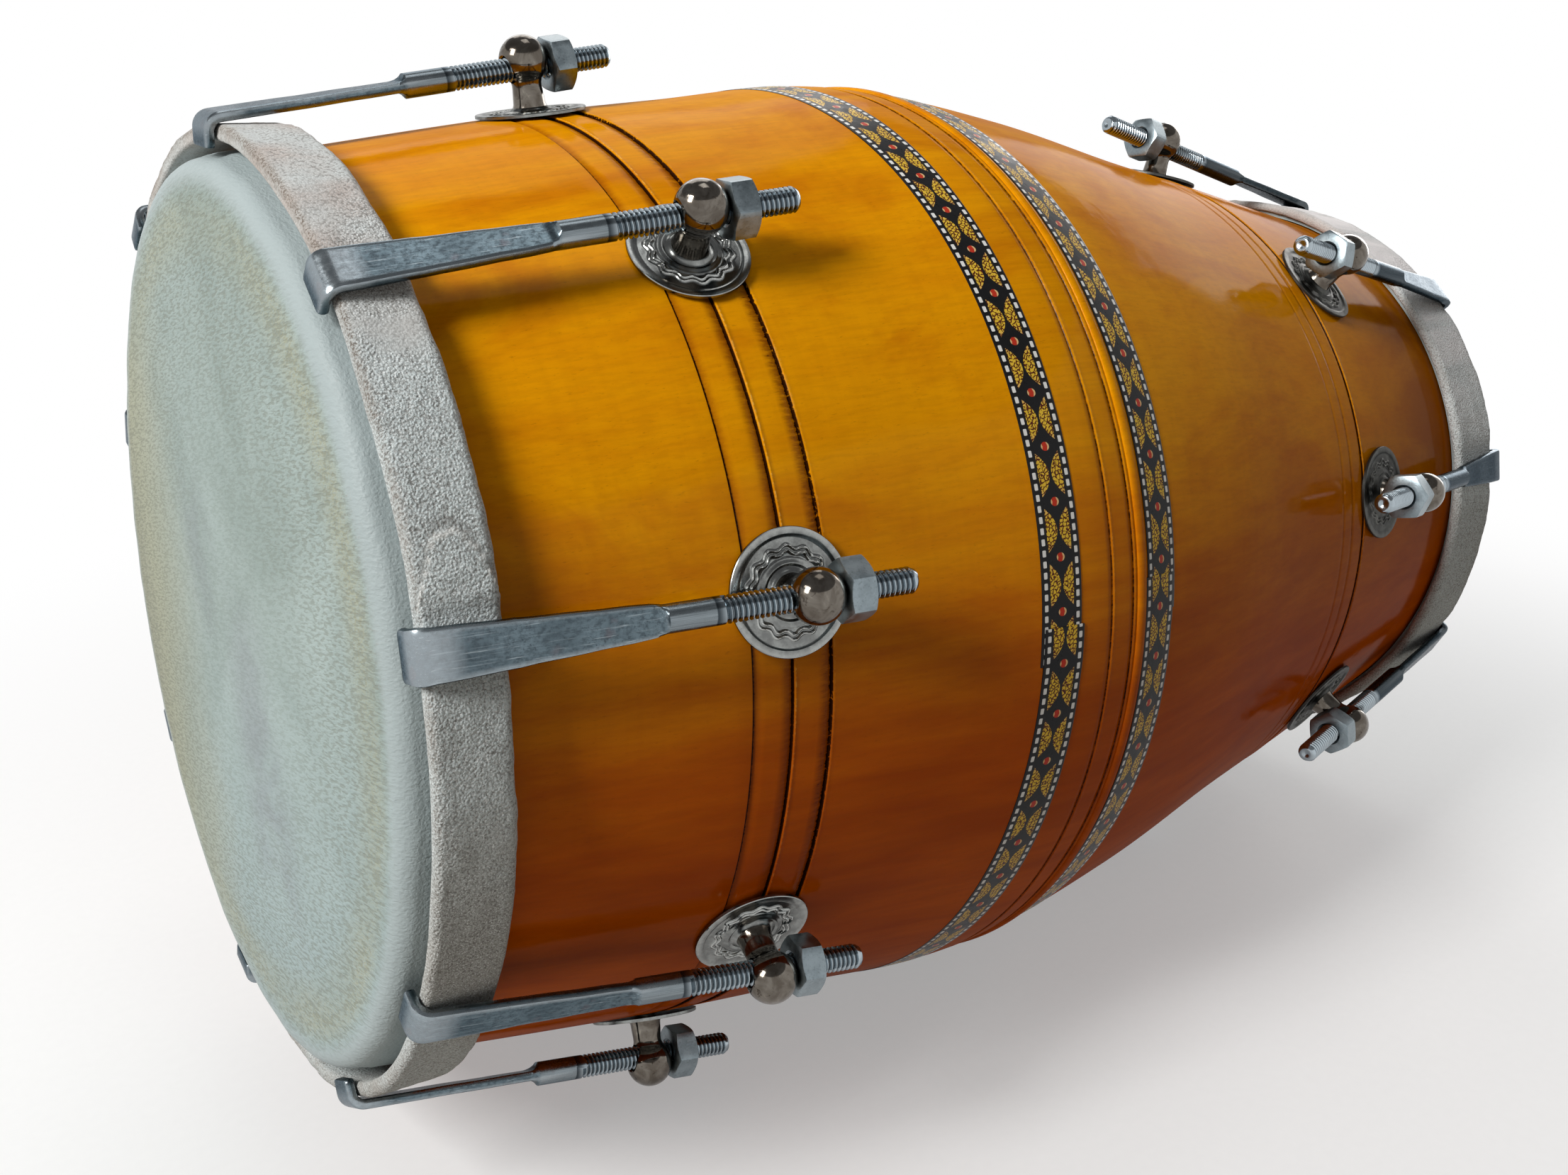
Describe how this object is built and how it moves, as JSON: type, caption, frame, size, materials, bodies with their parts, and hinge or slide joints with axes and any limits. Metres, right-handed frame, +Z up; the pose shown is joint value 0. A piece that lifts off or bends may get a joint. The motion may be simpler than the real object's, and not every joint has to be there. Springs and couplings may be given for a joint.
{
  "type": "dholak drum",
  "caption": "Barrel-shaped two-headed hand drum lying on its side, with leather-wrapped rims drawn tight by forged hook bolts through ball-headed eye bolts.",
  "frame": {"origin": "on the ground, under the middle of the drum's box as it lies", "axes": "+Z up, +X along the drum from the big head towards the small one, as seen from above"},
  "size_m": [0.4396, 0.2972, 0.3007],
  "materials": {
    "shell": "glossy amber varnish",
    "skin": "bare stretched hide",
    "rim": "napped suede wrap",
    "compound": "dried tuning compound",
    "hook_bolt": "worn zinc over forged steel",
    "eye_bolt": "tarnished nickel plate",
    "nut": "bright zinc plate"
  },
  "bodies": {
    "drum": {"shell": "shell", "skin_big": "skin", "skin_small": "skin", "inner_compound": "compound", "eye_bolt_big_1": "eye_bolt", "eye_bolt_big_2": "eye_bolt", "eye_bolt_big_3": "eye_bolt", "eye_bolt_big_4": "eye_bolt", "eye_bolt_big_5": "eye_bolt", "eye_bolt_big_6": "eye_bolt", "eye_bolt_big_7": "eye_bolt", "eye_bolt_big_8": "eye_bolt", "eye_bolt_big_9": "eye_bolt", "eye_bolt_small_1": "eye_bolt", "eye_bolt_small_2": "eye_bolt", "eye_bolt_small_3": "eye_bolt", "eye_bolt_small_4": "eye_bolt", "eye_bolt_small_5": "eye_bolt", "eye_bolt_small_6": "eye_bolt", "eye_bolt_small_7": "eye_bolt", "eye_bolt_small_8": "eye_bolt", "eye_bolt_small_9": "eye_bolt"},
    "rim_big": {"rim_big": "rim"},
    "hook_bolt_big_1": {"hook_bolt_big_1": "hook_bolt"},
    "tension_nut_big_1": {"tension_nut_big_1": "nut"},
    "hook_bolt_big_2": {"hook_bolt_big_2": "hook_bolt"},
    "tension_nut_big_2": {"tension_nut_big_2": "nut"},
    "hook_bolt_big_3": {"hook_bolt_big_3": "hook_bolt"},
    "tension_nut_big_3": {"tension_nut_big_3": "nut"},
    "hook_bolt_big_4": {"hook_bolt_big_4": "hook_bolt"},
    "tension_nut_big_4": {"tension_nut_big_4": "nut"},
    "hook_bolt_big_5": {"hook_bolt_big_5": "hook_bolt"},
    "tension_nut_big_5": {"tension_nut_big_5": "nut"},
    "hook_bolt_big_6": {"hook_bolt_big_6": "hook_bolt"},
    "tension_nut_big_6": {"tension_nut_big_6": "nut"},
    "hook_bolt_big_7": {"hook_bolt_big_7": "hook_bolt"},
    "tension_nut_big_7": {"tension_nut_big_7": "nut"},
    "hook_bolt_big_8": {"hook_bolt_big_8": "hook_bolt"},
    "tension_nut_big_8": {"tension_nut_big_8": "nut"},
    "hook_bolt_big_9": {"hook_bolt_big_9": "hook_bolt"},
    "tension_nut_big_9": {"tension_nut_big_9": "nut"},
    "rim_small": {"rim_small": "rim"},
    "hook_bolt_small_1": {"hook_bolt_small_1": "hook_bolt"},
    "tension_nut_small_1": {"tension_nut_small_1": "nut"},
    "hook_bolt_small_2": {"hook_bolt_small_2": "hook_bolt"},
    "tension_nut_small_2": {"tension_nut_small_2": "nut"},
    "hook_bolt_small_3": {"hook_bolt_small_3": "hook_bolt"},
    "tension_nut_small_3": {"tension_nut_small_3": "nut"},
    "hook_bolt_small_4": {"hook_bolt_small_4": "hook_bolt"},
    "tension_nut_small_4": {"tension_nut_small_4": "nut"},
    "hook_bolt_small_5": {"hook_bolt_small_5": "hook_bolt"},
    "tension_nut_small_5": {"tension_nut_small_5": "nut"},
    "hook_bolt_small_6": {"hook_bolt_small_6": "hook_bolt"},
    "tension_nut_small_6": {"tension_nut_small_6": "nut"},
    "hook_bolt_small_7": {"hook_bolt_small_7": "hook_bolt"},
    "tension_nut_small_7": {"tension_nut_small_7": "nut"},
    "hook_bolt_small_8": {"hook_bolt_small_8": "hook_bolt"},
    "tension_nut_small_8": {"tension_nut_small_8": "nut"},
    "hook_bolt_small_9": {"hook_bolt_small_9": "hook_bolt"},
    "tension_nut_small_9": {"tension_nut_small_9": "nut"}
  },
  "joints": [
    {"name": "rim_big_slide", "type": "slide", "parent": "drum", "child": "rim_big", "axis": [0.9974, 0, -0.0727], "range_m": [-0.0015, 0.003]},
    {"name": "hook_bolt_big_1_slide", "type": "slide", "parent": "drum", "child": "hook_bolt_big_1", "axis": [0.9768, -0.1537, -0.149], "range_m": [-0.00157, 0.0031]},
    {"name": "tension_nut_big_1_spin", "type": "hinge", "parent": "drum", "child": "tension_nut_big_1", "pos_m": [-0.12901, -0.12828, 0.08486], "axis": [0.9768, -0.1537, -0.149], "range_deg": [-868.3, 436.6]},
    {"name": "hook_bolt_big_2_slide", "type": "slide", "parent": "drum", "child": "hook_bolt_big_2", "axis": [0.9716, -0.0848, -0.2211], "range_m": [-0.00157, 0.0031]},
    {"name": "tension_nut_big_2_spin", "type": "hinge", "parent": "drum", "child": "tension_nut_big_2", "pos_m": [-0.13338, -0.07095, 0.02492], "axis": [0.9716, -0.0848, -0.2211], "range_deg": [-868.3, 436.6]},
    {"name": "hook_bolt_big_3_slide", "type": "slide", "parent": "drum", "child": "hook_bolt_big_3", "axis": [0.9703, 0.0431, -0.2379], "range_m": [-0.00157, 0.0031]},
    {"name": "tension_nut_big_3_spin", "type": "hinge", "parent": "drum", "child": "tension_nut_big_3", "pos_m": [-0.1344, 0.03548, 0.01094], "axis": [0.9703, 0.0431, -0.2379], "range_deg": [-868.3, 436.6]},
    {"name": "hook_bolt_big_4_slide", "type": "slide", "parent": "drum", "child": "hook_bolt_big_4", "axis": [0.9756, 0.1436, -0.1664], "range_m": [-0.00157, 0.0031]},
    {"name": "tension_nut_big_4_spin", "type": "hinge", "parent": "drum", "child": "tension_nut_big_4", "pos_m": [-0.13006, 0.11908, 0.07042], "axis": [0.9756, 0.1436, -0.1664], "range_deg": [-868.3, 436.6]},
    {"name": "hook_bolt_big_5_slide", "type": "slide", "parent": "drum", "child": "hook_bolt_big_5", "axis": [0.9853, 0.1678, -0.033], "range_m": [-0.00157, 0.0031]},
    {"name": "tension_nut_big_5_spin", "type": "hinge", "parent": "drum", "child": "tension_nut_big_5", "pos_m": [-0.12197, 0.13921, 0.18144], "axis": [0.9853, 0.1678, -0.033], "range_deg": [-868.3, 436.6]},
    {"name": "hook_bolt_big_6_slide", "type": "slide", "parent": "drum", "child": "hook_bolt_big_6", "axis": [0.9919, 0.1125, 0.0584], "range_m": [-0.00157, 0.0031]},
    {"name": "tension_nut_big_6_spin", "type": "hinge", "parent": "drum", "child": "tension_nut_big_6", "pos_m": [-0.11643, 0.09323, 0.25746], "axis": [0.9919, 0.1125, 0.0584], "range_deg": [-868.3, 436.6]},
    {"name": "hook_bolt_big_7_slide", "type": "slide", "parent": "drum", "child": "hook_bolt_big_7", "axis": [0.995, 0.0021, 0.1001], "range_m": [-0.00157, 0.0031]},
    {"name": "tension_nut_big_7_spin", "type": "hinge", "parent": "drum", "child": "tension_nut_big_7", "pos_m": [-0.1139, 0.00136, 0.29218], "axis": [0.995, 0.0021, 0.1001], "range_deg": [-868.3, 436.6]},
    {"name": "hook_bolt_big_8_slide", "type": "slide", "parent": "drum", "child": "hook_bolt_big_8", "axis": [0.9923, -0.1067, 0.0632], "range_m": [-0.00157, 0.0031]},
    {"name": "tension_nut_big_8_spin", "type": "hinge", "parent": "drum", "child": "tension_nut_big_8", "pos_m": [-0.11614, -0.0892, 0.26143], "axis": [0.9923, -0.1067, 0.0632], "range_deg": [-868.3, 436.6]},
    {"name": "hook_bolt_big_9_slide", "type": "slide", "parent": "drum", "child": "hook_bolt_big_9", "axis": [0.9856, -0.1668, -0.0289], "range_m": [-0.00157, 0.0031]},
    {"name": "tension_nut_big_9_spin", "type": "hinge", "parent": "drum", "child": "tension_nut_big_9", "pos_m": [-0.12173, -0.13917, 0.18483], "axis": [0.9856, -0.1668, -0.0289], "range_deg": [-868.3, 436.6]},
    {"name": "rim_small_slide", "type": "slide", "parent": "drum", "child": "rim_small", "axis": [-0.9974, 0, 0.0727], "range_m": [-0.0015, 0.0025]},
    {"name": "hook_bolt_small_1_slide", "type": "slide", "parent": "drum", "child": "hook_bolt_small_1", "axis": [-0.9759, -0.2146, -0.0404], "range_m": [-0.0016, 0.00263]},
    {"name": "tension_nut_small_1_spin", "type": "hinge", "parent": "drum", "child": "tension_nut_small_1", "pos_m": [0.12283, -0.11321, 0.07265], "axis": [-0.9759, -0.2146, -0.0404], "range_deg": [-735.3, 443.2]},
    {"name": "hook_bolt_small_2_slide", "type": "slide", "parent": "drum", "child": "hook_bolt_small_2", "axis": [-0.9846, -0.0707, -0.16], "range_m": [-0.0016, 0.00263]},
    {"name": "tension_nut_small_2_spin", "type": "hinge", "parent": "drum", "child": "tension_nut_small_2", "pos_m": [0.11824, -0.03755, 0.00978], "axis": [-0.9846, -0.0707, -0.16], "range_deg": [-735.3, 443.2]},
    {"name": "hook_bolt_small_3_slide", "type": "slide", "parent": "drum", "child": "hook_bolt_small_3", "axis": [-0.9846, 0.0707, -0.16], "range_m": [-0.0016, 0.00263]},
    {"name": "tension_nut_small_3_spin", "type": "hinge", "parent": "drum", "child": "tension_nut_small_3", "pos_m": [0.11824, 0.03676, 0.00978], "axis": [-0.9846, 0.0707, -0.16], "range_deg": [-735.3, 443.2]},
    {"name": "hook_bolt_small_4_slide", "type": "slide", "parent": "drum", "child": "hook_bolt_small_4", "axis": [-0.9775, 0.2015, -0.0625], "range_m": [-0.0016, 0.00263]},
    {"name": "tension_nut_small_4_spin", "type": "hinge", "parent": "drum", "child": "tension_nut_small_4", "pos_m": [0.12198, 0.10556, 0.06102], "axis": [-0.9775, 0.2015, -0.0625], "range_deg": [-735.3, 443.2]},
    {"name": "hook_bolt_small_5_slide", "type": "slide", "parent": "drum", "child": "hook_bolt_small_5", "axis": [-0.9658, 0.2401, 0.0978], "range_m": [-0.0016, 0.00263]},
    {"name": "tension_nut_small_5_spin", "type": "hinge", "parent": "drum", "child": "tension_nut_small_5", "pos_m": [0.12812, 0.12585, 0.14532], "axis": [-0.9658, 0.2401, 0.0978], "range_deg": [-735.3, 443.2]},
    {"name": "hook_bolt_small_6_slide", "type": "slide", "parent": "drum", "child": "hook_bolt_small_6", "axis": [-0.955, 0.1664, 0.2454], "range_m": [-0.0016, 0.00263]},
    {"name": "tension_nut_small_6_spin", "type": "hinge", "parent": "drum", "child": "tension_nut_small_6", "pos_m": [0.13377, 0.08707, 0.2229], "axis": [-0.955, 0.1664, 0.2454], "range_deg": [-735.3, 443.2]},
    {"name": "hook_bolt_small_7_slide", "type": "slide", "parent": "drum", "child": "hook_bolt_small_7", "axis": [-0.9502, -0.003, 0.3116], "range_m": [-0.0016, 0.00263]},
    {"name": "tension_nut_small_7_spin", "type": "hinge", "parent": "drum", "child": "tension_nut_small_7", "pos_m": [0.13631, -0.00195, 0.25769], "axis": [-0.9502, -0.003, 0.3116], "range_deg": [-735.3, 443.2]},
    {"name": "hook_bolt_small_8_slide", "type": "slide", "parent": "drum", "child": "hook_bolt_small_8", "axis": [-0.9546, -0.1595, 0.2516], "range_m": [-0.0016, 0.00263]},
    {"name": "tension_nut_small_8_spin", "type": "hinge", "parent": "drum", "child": "tension_nut_small_8", "pos_m": [0.13401, -0.08426, 0.22618], "axis": [-0.9546, -0.1595, 0.2516], "range_deg": [-735.3, 443.2]},
    {"name": "hook_bolt_small_9_slide", "type": "slide", "parent": "drum", "child": "hook_bolt_small_9", "axis": [-0.9642, -0.2367, 0.1194], "range_m": [-0.0016, 0.00263]},
    {"name": "tension_nut_small_9_spin", "type": "hinge", "parent": "drum", "child": "tension_nut_small_9", "pos_m": [0.12895, -0.12482, 0.15667], "axis": [-0.9642, -0.2367, 0.1194], "range_deg": [-735.3, 443.2]}
  ],
  "couplings": [
    {"joint": "hook_bolt_big_1_slide", "follows": "rim_big_slide", "ratio": 1.0152},
    {"joint": "tension_nut_big_1_spin", "follows": "rim_big_slide", "rad_per_m": -5022.4},
    {"joint": "hook_bolt_big_2_slide", "follows": "rim_big_slide", "ratio": 1.0152},
    {"joint": "tension_nut_big_2_spin", "follows": "rim_big_slide", "rad_per_m": -5022.4},
    {"joint": "hook_bolt_big_3_slide", "follows": "rim_big_slide", "ratio": 1.0152},
    {"joint": "tension_nut_big_3_spin", "follows": "rim_big_slide", "rad_per_m": -5022.4},
    {"joint": "hook_bolt_big_4_slide", "follows": "rim_big_slide", "ratio": 1.0152},
    {"joint": "tension_nut_big_4_spin", "follows": "rim_big_slide", "rad_per_m": -5022.4},
    {"joint": "hook_bolt_big_5_slide", "follows": "rim_big_slide", "ratio": 1.0152},
    {"joint": "tension_nut_big_5_spin", "follows": "rim_big_slide", "rad_per_m": -5022.4},
    {"joint": "hook_bolt_big_6_slide", "follows": "rim_big_slide", "ratio": 1.0152},
    {"joint": "tension_nut_big_6_spin", "follows": "rim_big_slide", "rad_per_m": -5022.4},
    {"joint": "hook_bolt_big_7_slide", "follows": "rim_big_slide", "ratio": 1.0152},
    {"joint": "tension_nut_big_7_spin", "follows": "rim_big_slide", "rad_per_m": -5022.4},
    {"joint": "hook_bolt_big_8_slide", "follows": "rim_big_slide", "ratio": 1.0152},
    {"joint": "tension_nut_big_8_spin", "follows": "rim_big_slide", "rad_per_m": -5022.4},
    {"joint": "hook_bolt_big_9_slide", "follows": "rim_big_slide", "ratio": 1.0152},
    {"joint": "tension_nut_big_9_spin", "follows": "rim_big_slide", "rad_per_m": -5022.4},
    {"joint": "hook_bolt_small_1_slide", "follows": "rim_small_slide", "ratio": 1.0306},
    {"joint": "tension_nut_small_1_spin", "follows": "rim_small_slide", "rad_per_m": -5098.5},
    {"joint": "hook_bolt_small_2_slide", "follows": "rim_small_slide", "ratio": 1.0306},
    {"joint": "tension_nut_small_2_spin", "follows": "rim_small_slide", "rad_per_m": -5098.5},
    {"joint": "hook_bolt_small_3_slide", "follows": "rim_small_slide", "ratio": 1.0306},
    {"joint": "tension_nut_small_3_spin", "follows": "rim_small_slide", "rad_per_m": -5098.5},
    {"joint": "hook_bolt_small_4_slide", "follows": "rim_small_slide", "ratio": 1.0306},
    {"joint": "tension_nut_small_4_spin", "follows": "rim_small_slide", "rad_per_m": -5098.5},
    {"joint": "hook_bolt_small_5_slide", "follows": "rim_small_slide", "ratio": 1.0306},
    {"joint": "tension_nut_small_5_spin", "follows": "rim_small_slide", "rad_per_m": -5098.5},
    {"joint": "hook_bolt_small_6_slide", "follows": "rim_small_slide", "ratio": 1.0306},
    {"joint": "tension_nut_small_6_spin", "follows": "rim_small_slide", "rad_per_m": -5098.5},
    {"joint": "hook_bolt_small_7_slide", "follows": "rim_small_slide", "ratio": 1.0306},
    {"joint": "tension_nut_small_7_spin", "follows": "rim_small_slide", "rad_per_m": -5098.5},
    {"joint": "hook_bolt_small_8_slide", "follows": "rim_small_slide", "ratio": 1.0306},
    {"joint": "tension_nut_small_8_spin", "follows": "rim_small_slide", "rad_per_m": -5098.5},
    {"joint": "hook_bolt_small_9_slide", "follows": "rim_small_slide", "ratio": 1.0306},
    {"joint": "tension_nut_small_9_spin", "follows": "rim_small_slide", "rad_per_m": -5098.5}
  ]
}
